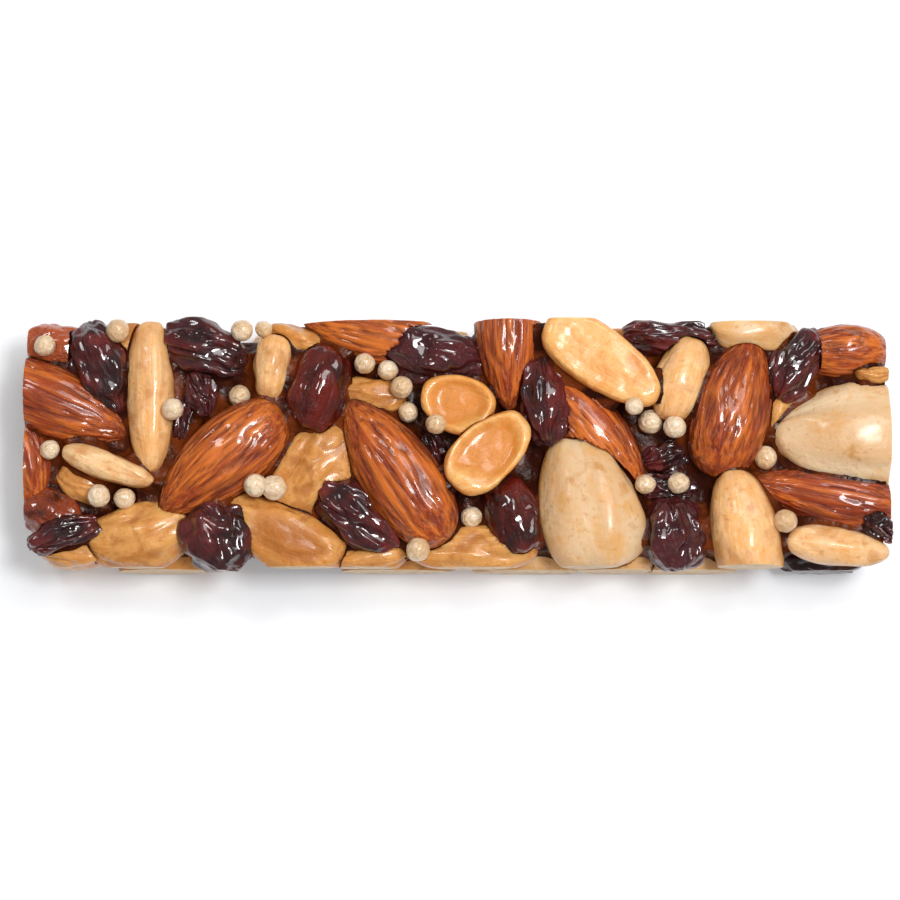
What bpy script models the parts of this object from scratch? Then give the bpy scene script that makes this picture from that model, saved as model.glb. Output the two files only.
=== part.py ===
"""Fruit and nut bar: whole nuts, dried fruit and crisp rice bound with syrup, pressed and cut to a slab.

The bar lies along X with its front side at -Y, and its origin is at the middle of its underside.
Every nut and fruit of the upper layer is an object of its own, cut flat where the knife went through
it and set a hair clear of its neighbours. The lower layer is one object: the syrup with the nuts that
show on the sides and the underside fused on. Lengths below are in millimetres.
"""

import math
import random
from dataclasses import dataclass

import bmesh
import bpy
from mathutils import Matrix, Vector, noise
from mathutils.bvhtree import BVHTree

MM = 0.001

# Driving dimensions of the bar.
BAR_LENGTH = 112.0
BAR_WIDTH = 32.0
FRUIT_PROUD = 0.6
GAP = 0.35

# The lower layer: its syrup stays inside the cut faces, and its nuts reach them.
SYRUP_INSET = 0.5
SYRUP_TOP = 5.0
LOWER_COLUMNS = 8
LOWER_ROWS = 3
LOWER_SIZE = {"length": 19.0, "width": 11.5, "thick": 9.0}
LOWER_SEED = 11

# Facets round and along a piece, and the length under which a piece is small.
LARGE_FACETS = (8, 7)
SMALL_FACETS = (7, 5)
SMALL_LENGTH = 8.0
PUFF_FACETS = (7, 5)
PUFF_REACH = 0.7
PUFF_STEP = 0.2
PUFF_LOWEST = 10.5
CLEANUP = 0.06
FLAT_ANGLE = math.radians(3.0)

# Colour, roughness and metallic value of each kind of piece.
FINISHES = {
    "almond": ((0.36, 0.11, 0.04, 1.0), 0.35, 0.0),
    "peanut": ((0.86, 0.55, 0.25, 1.0), 0.40, 0.0),
    "peanut_half": ((0.86, 0.55, 0.25, 1.0), 0.40, 0.0),
    "cashew": ((0.76, 0.43, 0.17, 1.0), 0.40, 0.0),
    "brazil_nut": ((0.86, 0.66, 0.42, 1.0), 0.40, 0.0),
    "raisin": ((0.030, 0.010, 0.012, 1.0), 0.25, 0.0),
    "red_fruit": ((0.16, 0.020, 0.012, 1.0), 0.25, 0.0),
    "lower_layer": ((0.50, 0.26, 0.10, 1.0), 0.35, 0.0),
}


@dataclass(frozen=True)
class Piece:
    """A nut or fruit: where its middle is, how high it reaches, its size, and which way its tip points."""

    name: str
    kind: str
    x: float
    y: float
    top: float
    length: float
    width: float
    thick: float
    yaw: float
    pitch: float = 0.0
    roll: float = 0.0


# The upper layer, from the left end of the bar to the right.
PIECES = (
    Piece("almond_01", "almond", -52.5, 5.2, 14.9, 21.0, 9.8, 8.0, -22, 0, 12),
    Piece("almond_02", "almond", -57.0, -2.6, 13.6, 14.0, 9.0, 7.0, -75),
    Piece("raisin_01", "raisin", -46.5, 10.1, 14.7, 12.4, 7.9, 7.5, -68),
    Piece("red_fruit_01", "red_fruit", -52.3, 13.0, 13.2, 8.6, 6.2, 6.0, -5),
    Piece("peanut_01", "peanut", -40.0, 6.2, 14.4, 20.4, 6.6, 6.2, -88),
    Piece("cashew_01", "cashew", -43.4, 12.8, 12.6, 7.6, 5.2, 5.0, 60),
    Piece("raisin_02", "raisin", -33.0, 12.5, 14.3, 11.6, 7.4, 7.0, -20),
    Piece("raisin_03", "raisin", -33.4, 6.6, 13.4, 6.2, 4.2, 4.6, -72),
    Piece("raisin_04", "raisin", -36.0, 5.0, 12.0, 9.6, 3.6, 4.6, 82),
    Piece("peanut_02", "peanut", -24.1, 10.0, 14.2, 9.0, 5.3, 5.2, -94),
    Piece("cashew_02", "cashew", -20.9, 14.0, 12.6, 8.0, 4.2, 5.0, -22),
    Piece("almond_03", "almond", -30.5, -2.2, 15.4, 20.8, 10.3, 8.2, 221, 0, -8),
    Piece("peanut_03", "peanut", -45.1, -3.1, 14.6, 12.8, 4.1, 4.4, -20),
    Piece("cashew_03", "cashew", -48.8, -5.2, 12.6, 7.6, 5.2, 5.0, -30),
    Piece("red_fruit_02", "red_fruit", -52.6, -9.0, 13.2, 8.0, 6.8, 6.0, -30),
    Piece("raisin_05", "raisin", -50.7, -11.9, 14.4, 9.6, 4.4, 4.6, 18),
    Piece("cashew_04", "cashew", -49.6, -14.2, 12.2, 9.0, 3.8, 5.4, 0),
    Piece("cashew_05", "cashew", -41.0, -11.8, 13.7, 14.6, 9.4, 7.2, 12),
    Piece("raisin_06", "raisin", -31.0, -12.3, 15.0, 10.0, 9.4, 8.0, -50),
    Piece("cashew_06", "cashew", -22.4, -11.8, 13.8, 16.6, 8.6, 6.8, -26),
    Piece("cashew_07", "cashew", -18.6, -3.0, 13.2, 14.8, 10.4, 6.6, 58),
    Piece("red_fruit_03", "red_fruit", -18.0, 7.2, 14.8, 11.6, 7.9, 7.0, 75),
    Piece("almond_04", "almond", -11.0, 14.8, 13.9, 19.0, 8.2, 7.4, 168),
    Piece("cashew_08", "cashew", -11.2, 6.6, 12.4, 9.4, 5.8, 5.6, -10),
    Piece("raisin_07", "raisin", -3.4, 12.0, 14.2, 13.4, 8.2, 7.4, -10),
    Piece("peanut_04", "peanut_half", 0.0, 5.0, 14.4, 10.2, 8.0, 5.6, 160),
    Piece("raisin_08", "raisin", -2.8, -0.8, 11.8, 5.2, 3.4, 4.4, -60),
    Piece("almond_05", "almond", -7.9, -3.7, 15.6, 22.6, 10.5, 8.4, 124, 0, -10),
    Piece("raisin_09", "raisin", -13.0, -9.5, 14.0, 13.2, 7.6, 6.8, -38),
    Piece("cashew_09", "cashew", -11.0, -14.7, 12.0, 10.0, 4.0, 5.4, 6),
    Piece("almond_06", "almond", 6.7, 14.4, 14.6, 20.0, 9.0, 7.8, -89),
    Piece("raisin_10", "raisin", 11.3, 5.6, 14.8, 12.2, 7.0, 6.8, 96),
    Piece("peanut_05", "peanut_half", 4.1, -1.3, 14.7, 13.2, 8.4, 5.4, 42),
    Piece("red_fruit_04", "red_fruit", 7.4, -9.4, 13.4, 10.4, 7.4, 6.4, -72),
    Piece("cashew_10", "cashew", 2.0, -13.4, 12.4, 18.0, 6.8, 6.4, 2),
    Piece("peanut_06", "peanut_half", 18.8, 10.7, 15.4, 18.2, 8.5, 6.6, -35),
    Piece("almond_07", "almond", 17.8, 1.7, 13.8, 19.4, 8.8, 7.4, -50),
    Piece("brazil_nut_01", "brazil_nut", 17.1, -7.4, 15.2, 19.8, 13.8, 9.2, 102),
    Piece("raisin_11", "raisin", 28.5, 14.2, 12.8, 13.2, 4.8, 5.4, -3),
    Piece("peanut_07", "peanut", 29.3, 8.6, 14.7, 11.8, 7.2, 6.6, 70),
    Piece("raisin_12", "raisin", 27.3, -1.4, 11.8, 6.4, 5.0, 5.2, 20),
    Piece("raisin_13", "raisin", 27.6, -5.6, 11.4, 7.6, 4.6, 4.6, 0),
    Piece("raisin_14", "raisin", 28.2, -11.7, 14.3, 9.6, 8.6, 7.8, 100),
    Piece("peanut_08", "peanut", 37.3, -11.8, 15.4, 17.6, 9.4, 8.6, 100),
    Piece("brazil_nut_02", "brazil_nut", 39.0, 15.2, 13.6, 13.0, 7.4, 7.0, -10),
    Piece("almond_08", "almond", 36.0, 5.0, 15.2, 19.4, 10.4, 8.6, 74, 0, 8),
    Piece("raisin_15", "raisin", 44.3, 10.4, 14.7, 10.4, 6.2, 6.2, 58),
    Piece("almond_09", "almond", 50.0, 12.3, 14.0, 13.4, 7.4, 7.6, 180),
    Piece("cashew_11", "cashew", 54.2, 9.0, 14.05, 5.2, 2.6, 4.0, 0),
    Piece("brazil_nut_03", "brazil_nut", 50.6, 1.4, 15.0, 19.2, 14.0, 9.0, 180),
    Piece("almond_10", "almond", 49.2, -7.0, 13.3, 22.4, 8.2, 7.4, 168),
    Piece("peanut_09", "peanut", 49.2, -13.3, 13.9, 13.8, 5.6, 5.8, -8),
    Piece("raisin_16", "raisin", 54.7, -11.0, 14.1, 4.8, 3.2, 3.8, -40),
    Piece("cashew_12", "cashew", 42.0, 4.6, 12.2, 8.0, 5.0, 5.4, 70),
)


@dataclass(frozen=True)
class Puff:
    """A ball of crisp rice: where it lies, and its radius."""

    x: float
    y: float
    radius: float


PUFFS = (
    Puff(-53.4, 12.5, 1.55),
    Puff(-44.1, 14.6, 1.70),
    Puff(-36.7, 4.2, 1.60),
    Puff(-28.6, 7.0, 1.60),
    Puff(-28.0, 14.7, 1.60),
    Puff(-25.2, 15.0, 1.30),
    Puff(-52.7, -0.9, 1.45),
    Puff(-46.2, -7.0, 1.65),
    Puff(-43.0, -7.2, 1.55),
    Puff(-26.0, -5.7, 1.65),
    Puff(-23.6, -5.9, 1.80),
    Puff(-12.0, 10.4, 1.55),
    Puff(-9.0, 9.6, 1.50),
    Puff(-7.2, 7.3, 1.65),
    Puff(-6.0, 4.0, 1.50),
    Puff(-2.7, 2.1, 1.50),
    Puff(-5.0, -14.0, 1.70),
    Puff(1.85, -9.0, 1.55),
    Puff(22.8, 4.4, 1.35),
    Puff(24.9, 2.8, 1.75),
    Puff(28.2, 2.0, 1.65),
    Puff(24.4, -5.3, 1.50),
    Puff(28.7, -5.2, 1.60),
    Puff(40.6, -1.8, 1.70),
    Puff(42.2, -10.3, 1.70),
)


def tapered(point, taper, fullness=1.0):
    """The point of the unit ball, narrowed towards +X and with rounder shoulders for more fullness."""
    girth = math.hypot(point.y, point.z)
    if girth < 1e-9:
        return point.copy()
    full = girth ** (1.0 / fullness)
    scale = full / girth * taper(point.x)
    return Vector((point.x, point.y * scale, point.z * scale))


def lumpy(point, seed, depth, pitch):
    """The point moved in or out by a smooth noise, the same for every mesh of the same piece."""
    offset = Vector((seed * 3.1, seed * 1.7, seed * 2.3))
    return point * (1.0 + depth * noise.noise(point * pitch + offset))


def almond_shape(point, seed):
    """A teardrop that narrows to its tip at +X."""
    shaped = tapered(point, lambda x: 1.0 - 0.14 * x - 0.26 * max(0.0, x) ** 2, 1.12)
    return lumpy(shaped, seed, 0.03, 1.2)


def peanut_shape(point, seed):
    """A full oval kernel, a little slimmer at one end."""
    shaped = tapered(point, lambda x: 1.0 - 0.10 * x, 1.35)
    return lumpy(shaped, seed, 0.05, 1.4)


def peanut_half_shape(point, seed):
    """Half a kernel with its inner side up: flatter above, with a shallow hollow along the middle."""
    shaped = tapered(point, lambda x: 1.0 - 0.12 * x, 1.25)
    if shaped.z > 0.0:
        rim = min(1.0, math.hypot(shaped.x, shaped.y))
        shaped.z *= 0.45 + 0.40 * rim**3
    return lumpy(shaped, seed, 0.04, 1.4)


def cashew_shape(point, seed):
    """A thick nut piece with a bend along its length."""
    shaped = tapered(point, lambda x: 1.0 + 0.06 * x, 1.3)
    shaped.y += 0.22 * (shaped.x**2 - 0.4)
    return lumpy(shaped, seed, 0.08, 1.5)


def brazil_nut_shape(point, seed):
    """A big nut with full sides and one slimmer end."""
    shaped = tapered(point, lambda x: 1.0 - 0.24 * x, 1.35)
    return lumpy(shaped, seed, 0.05, 1.3)


def raisin_shape(point, seed):
    """A shrunken grape with coarse folds."""
    shaped = tapered(point, lambda x: 1.0 - 0.06 * x, 1.15)
    return lumpy(lumpy(shaped, seed, 0.14, 1.6), seed + 5, 0.08, 3.2)


def red_fruit_shape(point, seed):
    """A cut piece of dried fruit with blunt corners."""
    shaped = tapered(point, lambda x: 1.0, 1.7)
    return lumpy(shaped, seed, 0.12, 1.7)


SHAPES = {
    "almond": almond_shape,
    "peanut": peanut_shape,
    "peanut_half": peanut_half_shape,
    "cashew": cashew_shape,
    "brazil_nut": brazil_nut_shape,
    "raisin": raisin_shape,
    "red_fruit": red_fruit_shape,
}


def placement(piece):
    """The matrix that carries a piece from its own axes, tip at +X, into the bar."""
    turn = (
        Matrix.Rotation(math.radians(piece.yaw), 4, "Z")
        @ Matrix.Rotation(math.radians(-piece.pitch), 4, "Y")
        @ Matrix.Rotation(math.radians(piece.roll), 4, "X")
    )
    middle = Vector((piece.x, piece.y, piece.top - piece.thick / 2.0))
    return Matrix.Translation(middle) @ turn


def piece_mesh(piece, seed, grown=0.0):
    """A new bmesh of a whole piece where it lies in the bar, grown on every side by a length."""
    coarse = piece.length < SMALL_LENGTH or piece.name.startswith("lower")
    around, along = SMALL_FACETS if coarse else LARGE_FACETS
    bm = bmesh.new()
    poles_along_x = Matrix.Rotation(math.pi / 2.0, 4, "Y")
    bmesh.ops.create_uvsphere(bm, u_segments=around, v_segments=along, radius=1.0, matrix=poles_along_x)
    half = Vector((piece.length / 2.0, piece.width / 2.0, piece.thick / 2.0))
    wide = half + Vector((grown, grown, grown))
    place = placement(piece)
    for vertex in bm.verts:
        shaped = SHAPES[piece.kind](vertex.co, seed)
        vertex.co = place @ Vector((shaped.x * wide.x, shaped.y * wide.y, shaped.z * wide.z))
    rise = piece.top + grown - max(vertex.co.z for vertex in bm.verts)
    bmesh.ops.translate(bm, verts=bm.verts[:], vec=Vector((0.0, 0.0, rise)))
    return bm


def cut(bm, point, outward):
    """Cuts away what lies past a plane, and closes the cut with a flat face."""
    geometry = bm.verts[:] + bm.edges[:] + bm.faces[:]
    bmesh.ops.bisect_plane(bm, geom=geometry, plane_co=point, plane_no=outward, clear_outer=True)
    rim = [edge for edge in bm.edges if edge.is_boundary]
    if rim:
        bmesh.ops.holes_fill(bm, edges=rim, sides=0)


def cut_to_slab(bm, kind, floor):
    """Cuts a piece where the knife cut the bar, and level at its floor; soft fruit stands proud."""
    proud = FRUIT_PROUD if kind == "raisin" else 0.0
    half_length = BAR_LENGTH / 2.0
    half_width = BAR_WIDTH / 2.0 + proud
    for sign in (-1.0, 1.0):
        cut(bm, Vector((sign * half_length, 0.0, 0.0)), Vector((sign, 0.0, 0.0)))
        cut(bm, Vector((0.0, sign * half_width, 0.0)), Vector((0.0, sign, 0.0)))
    cut(bm, Vector((0.0, 0.0, floor)), Vector((0.0, 0.0, -1.0)))


def corners(bm):
    """The lowest and highest corner of a bmesh."""
    low = Vector(tuple(min(v.co[i] for v in bm.verts) for i in range(3)))
    high = Vector(tuple(max(v.co[i] for v in bm.verts) for i in range(3)))
    return low, high


def near(first, second):
    """Whether the boxes of two bmeshes come within the gap of each other."""
    (low_a, high_a), (low_b, high_b) = corners(first), corners(second)
    return all(low_a[i] < high_b[i] + GAP and low_b[i] < high_a[i] + GAP for i in range(3))


def islands(bm):
    """The connected groups of faces of a bmesh."""
    left = set(bm.faces)
    groups = []
    while left:
        group = set()
        front = [left.pop()]
        while front:
            face = front.pop()
            group.add(face)
            touching = {other for edge in face.edges for other in edge.link_faces} & left
            left -= touching
            front.extend(touching)
        groups.append(group)
    return groups


def drop_scraps(bm):
    """Keeps the largest skin of a bmesh: drops the loose scraps that a cut left, and fills sealed hollows."""
    groups = sorted(islands(bm), key=lambda group: -sum(face.calc_area() for face in group))
    for group in groups[1:]:
        bmesh.ops.delete(bm, geom=list(group), context="FACES")


def closed(bm):
    """Whether every edge of a bmesh has exactly two faces."""
    return all(len(edge.link_faces) == 2 for edge in bm.edges)


def tidied(bm):
    """The bmesh with close corners merged and flat faces joined, as far as that leaves it closed."""
    for distance in (CLEANUP, CLEANUP / 4.0, CLEANUP / 20.0):
        trial = bm.copy()
        bmesh.ops.remove_doubles(trial, verts=trial.verts[:], dist=distance)
        bmesh.ops.dissolve_degenerate(trial, edges=trial.edges[:], dist=distance)
        drop_scraps(trial)
        bmesh.ops.dissolve_limit(trial, angle_limit=FLAT_ANGLE, verts=trial.verts[:], edges=trial.edges[:])
        bmesh.ops.triangulate(trial, faces=[face for face in trial.faces if len(face.verts) > 4])
        bmesh.ops.recalc_face_normals(trial, faces=trial.faces[:])
        if closed(trial):
            return trial
    return bm


def new_material(name):
    """The Principled material of a kind of piece, made once."""
    found = bpy.data.materials.get(name)
    if found:
        return found
    color, roughness, metallic = FINISHES[name]
    material = bpy.data.materials.new(name)
    material.use_nodes = True
    principled = material.node_tree.nodes["Principled BSDF"]
    principled.inputs["Base Color"].default_value = color
    principled.inputs["Roughness"].default_value = roughness
    principled.inputs["Metallic"].default_value = metallic
    return material


def new_object(name, bm, material, parent):
    """An object from a bmesh in millimetres, under the bar's empty."""
    mesh = bpy.data.meshes.new(name)
    bm.to_mesh(mesh)
    mesh.transform(Matrix.Scale(MM, 4))
    mesh.shade_smooth()
    mesh.set_sharp_from_angle(angle=math.radians(40.0))
    if material:
        mesh.materials.append(material)
    obj = bpy.data.objects.new(name, mesh)
    bpy.context.scene.collection.objects.link(obj)
    obj.parent = parent
    return obj


def combine(obj, parts, operation):
    """Joins parts to an object, or takes them out of it, with one Boolean, and removes them."""
    group = bpy.data.collections.new(obj.name + "_parts")
    bpy.context.scene.collection.children.link(group)
    for part in parts:
        bpy.context.scene.collection.objects.unlink(part)
        group.objects.link(part)
    boolean = obj.modifiers.new("combine", "BOOLEAN")
    boolean.operation = operation
    boolean.operand_type = "COLLECTION"
    boolean.collection = group
    boolean.solver = "EXACT"
    graph = bpy.context.evaluated_depsgraph_get()
    combined = bpy.data.meshes.new_from_object(obj.evaluated_get(graph))
    obj.modifiers.remove(boolean)
    bm = bmesh.new()
    bm.from_mesh(combined)
    drop_scraps(bm)
    bm.to_mesh(combined)
    bm.free()
    obj.data = combined
    for part in parts:
        bpy.data.objects.remove(part)
    bpy.data.collections.remove(group)


def carved(bm, cutters):
    """The bmesh with those that come near taken out of it, so that it lies clear of them."""
    close = [cutter for cutter in cutters if near(bm, cutter)]
    if not close:
        return tidied(bm)
    body = new_object("body", bm, None, None)
    combine(body, [new_object("cutter", cutter, None, None) for cutter in close], "DIFFERENCE")
    cut_free = bmesh.new()
    cut_free.from_mesh(body.data)
    bmesh.ops.scale(cut_free, vec=Vector((1.0, 1.0, 1.0)) / MM, verts=cut_free.verts[:])
    bpy.data.objects.remove(body)
    return tidied(cut_free)


def upper_layer():
    """The bmesh of each upper piece by name, and a grown copy of each that the others are carved with."""
    finished = {}
    grown = {}
    for piece in sorted(PIECES, key=lambda p: -p.top):
        bm = piece_mesh(piece, PIECES.index(piece))
        cut_to_slab(bm, piece.kind, SYRUP_TOP + GAP)
        finished[piece.name] = carved(bm, grown.values())
        grown[piece.name] = piece_mesh(piece, PIECES.index(piece), GAP)
    return finished, grown


def resting_place(puff, upper):
    """Where a puff dropped from above comes to rest, and the name of the upper piece it rests on."""
    trees = {name: BVHTree.FromBMesh(bm) for name, bm in upper.items()}
    reach = PUFF_REACH * puff.radius
    middle = Vector((puff.x, puff.y, max(piece.top for piece in PIECES) + puff.radius))
    while True:
        found = {name: tree.find_nearest(middle) for name, tree in trees.items()}
        nearest = min(found, key=lambda name: found[name][3])
        if found[nearest][3] <= reach or middle.z < PUFF_LOWEST:
            break
        middle.z -= PUFF_STEP
    contact, _, _, distance = found[nearest]
    if distance > reach:
        middle += (contact - middle).normalized() * (distance - reach)
    return middle, nearest


def puffs_by_carrier(upper, grown):
    """The bmeshes of the puffs, by the name of the piece that each one lies on and is stuck to."""
    carried = {}
    cutters = list(grown.items())
    around, along = PUFF_FACETS
    for puff in PUFFS:
        middle, carrier = resting_place(puff, upper)
        place = Matrix.Translation(middle)
        bm = bmesh.new()
        bmesh.ops.create_uvsphere(bm, u_segments=around, v_segments=along, radius=puff.radius, matrix=place)
        ball = carved(bm, [cutter for name, cutter in cutters if name != carrier])
        carried.setdefault(carrier, []).append(ball)
        room = bmesh.new()
        radius = puff.radius + GAP
        bmesh.ops.create_uvsphere(room, u_segments=around, v_segments=along, radius=radius, matrix=place)
        cutters.append((carrier, room))
    return carried


def lower_pieces():
    """The nuts and fruit of the lower layer, spread in rows by a rule with a fixed seed."""
    draw = random.Random(LOWER_SEED)
    kinds = ("almond", "peanut", "cashew", "brazil_nut", "raisin")
    step_x = BAR_LENGTH / LOWER_COLUMNS
    step_y = BAR_WIDTH / LOWER_ROWS
    pieces = []
    for row in range(LOWER_ROWS):
        for column in range(LOWER_COLUMNS):
            kind = kinds[(2 * column + 3 * row + draw.randrange(2)) % len(kinds)]
            small = 0.72 if kind in ("raisin", "peanut") else 1.0
            x = (column + 0.5) * step_x - BAR_LENGTH / 2.0 + draw.uniform(-2.0, 2.0)
            y = (row + 0.5) * step_y - BAR_WIDTH / 2.0 + (row - 1) * 1.5 + draw.uniform(-1.2, 1.2)
            length = LOWER_SIZE["length"] * small * draw.uniform(0.9, 1.1)
            width = LOWER_SIZE["width"] * small * draw.uniform(0.9, 1.1)
            thick = LOWER_SIZE["thick"] * draw.uniform(0.95, 1.1)
            top = thick - draw.uniform(0.5, 1.1)
            yaw = draw.uniform(-35.0, 35.0) + 180.0 * draw.randrange(2)
            name = f"lower_{row}_{column}"
            pieces.append(Piece(name, kind, x, y, top, length, width, thick, yaw))
    return pieces


def lower_layer(grown, parent):
    """The lower layer: a slab of syrup with the lower nuts and fruit fused to it."""
    bm = bmesh.new()
    size = Vector((BAR_LENGTH - 2 * SYRUP_INSET, BAR_WIDTH - 2 * SYRUP_INSET, SYRUP_TOP))
    middle = Vector((0.0, 0.0, SYRUP_TOP / 2.0))
    bmesh.ops.create_cube(bm, size=1.0, matrix=Matrix.Translation(middle) @ Matrix.Diagonal(size.to_4d()))
    slab = new_object("lower_layer", bm, new_material("lower_layer"), parent)
    bm.free()
    parts = []
    for number, piece in enumerate(lower_pieces()):
        bm = piece_mesh(piece, number + len(PIECES))
        cut_to_slab(bm, piece.kind, 0.0)
        nut = carved(bm, grown.values())
        parts.append(new_object(piece.name, nut, new_material("lower_layer"), parent))
    combine(slab, parts, "UNION")


def main():
    """Clears the scene and builds the bar."""
    for obj in list(bpy.data.objects):
        bpy.data.objects.remove(obj)
    bar = bpy.data.objects.new("bar", None)
    bpy.context.scene.collection.objects.link(bar)
    upper, grown = upper_layer()
    carried = puffs_by_carrier(upper, grown)
    for piece in PIECES:
        obj = new_object(piece.name, upper[piece.name], new_material(piece.kind), bar)
        puffs = [
            new_object(f"{piece.name}_puff_{number}", bm, new_material(piece.kind), bar)
            for number, bm in enumerate(carried.get(piece.name, ()))
        ]
        if puffs:
            combine(obj, puffs, "UNION")
    lower_layer(grown, bar)


main()
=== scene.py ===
"""Looks of a fruit and nut granola bar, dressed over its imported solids.

Every nut and fruit of the upper layer is made again from the solids' own sizes, with its skin, folds and
cut flesh, and stands for the solid of the same name. The nuts of the lower layer, the syrup that binds
them and the crisp puffs stand for the rest. The bar lies along X with its front side at -Y.
"""

import functools
import logging
import math
import random
from collections.abc import Iterable
from dataclasses import asdict, dataclass
from enum import Enum

import bmesh
import bpy
import numpy as np
from mathutils import Matrix, Vector, noise
from mathutils.bvhtree import BVHTree


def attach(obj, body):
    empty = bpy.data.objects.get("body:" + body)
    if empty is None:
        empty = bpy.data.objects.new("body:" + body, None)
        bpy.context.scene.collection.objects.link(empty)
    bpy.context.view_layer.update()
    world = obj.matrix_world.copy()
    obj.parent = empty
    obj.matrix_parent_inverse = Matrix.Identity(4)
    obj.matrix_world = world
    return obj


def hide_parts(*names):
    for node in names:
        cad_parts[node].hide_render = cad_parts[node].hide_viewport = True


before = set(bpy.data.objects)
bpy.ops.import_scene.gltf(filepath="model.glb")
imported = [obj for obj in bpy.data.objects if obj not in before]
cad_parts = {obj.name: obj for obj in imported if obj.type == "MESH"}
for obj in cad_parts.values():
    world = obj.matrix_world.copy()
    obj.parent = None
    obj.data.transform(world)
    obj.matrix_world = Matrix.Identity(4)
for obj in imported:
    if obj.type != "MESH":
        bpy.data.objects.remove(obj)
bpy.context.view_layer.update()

LOG = logging.getLogger("granola_bar")

MM = 0.001
TINY = 1e-9
Color = tuple[float, float, float]
Range = tuple[float, float]

# The bar, in millimetres, as its solids have it.
BAR_LENGTH = 112.0
BAR_WIDTH = 32.0
UPPER_FLOOR = 5.3
LOWER_FLOOR = 0.001

# The tone at which a piece is as light as its kind.
EVEN_TONE = 0.5


class Kind(Enum):
    """What a piece of the bar is; the value is the record's material slot."""

    ALMOND = "almond"
    PEANUT = "peanut"
    PEANUT_HALF = "peanut_half"
    CASHEW = "cashew"
    BRAZIL_NUT = "brazil_nut"
    RAISIN = "raisin"
    RED_FRUIT = "red_fruit"

    @property
    def slot(self) -> str:
        """The record's material slot."""
        return "peanut" if self is Kind.PEANUT_HALF else self.value


@dataclass(frozen=True)
class Piece:
    """A nut or fruit, in millimetres and degrees: its middle, its highest point, its size and its tip's way.

    A positive dish is the depth of the hollow in its upper side. A tone above or below a half makes it
    lighter or darker than others of its kind.
    """

    name: str
    kind: Kind
    x: float
    y: float
    top: float
    length: float
    width: float
    thick: float
    yaw: float
    pitch: float = 0.0
    roll: float = 0.0
    dish: float = 0.0
    tone: float = EVEN_TONE

    def turn(self) -> Matrix:
        """The rotation from the piece's own axes, tip at +X, to the bar's."""
        return (
            Matrix.Rotation(math.radians(self.yaw), 4, "Z")
            @ Matrix.Rotation(math.radians(-self.pitch), 4, "Y")
            @ Matrix.Rotation(math.radians(self.roll), 4, "X")
        )


@dataclass(frozen=True)
class Puff:
    """A ball of crisp rice, in millimetres: where it lies, and its radius."""

    x: float
    y: float
    radius: float


A, P, H, C = Kind.ALMOND, Kind.PEANUT, Kind.PEANUT_HALF, Kind.CASHEW
B, R, F = Kind.BRAZIL_NUT, Kind.RAISIN, Kind.RED_FRUIT

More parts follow.
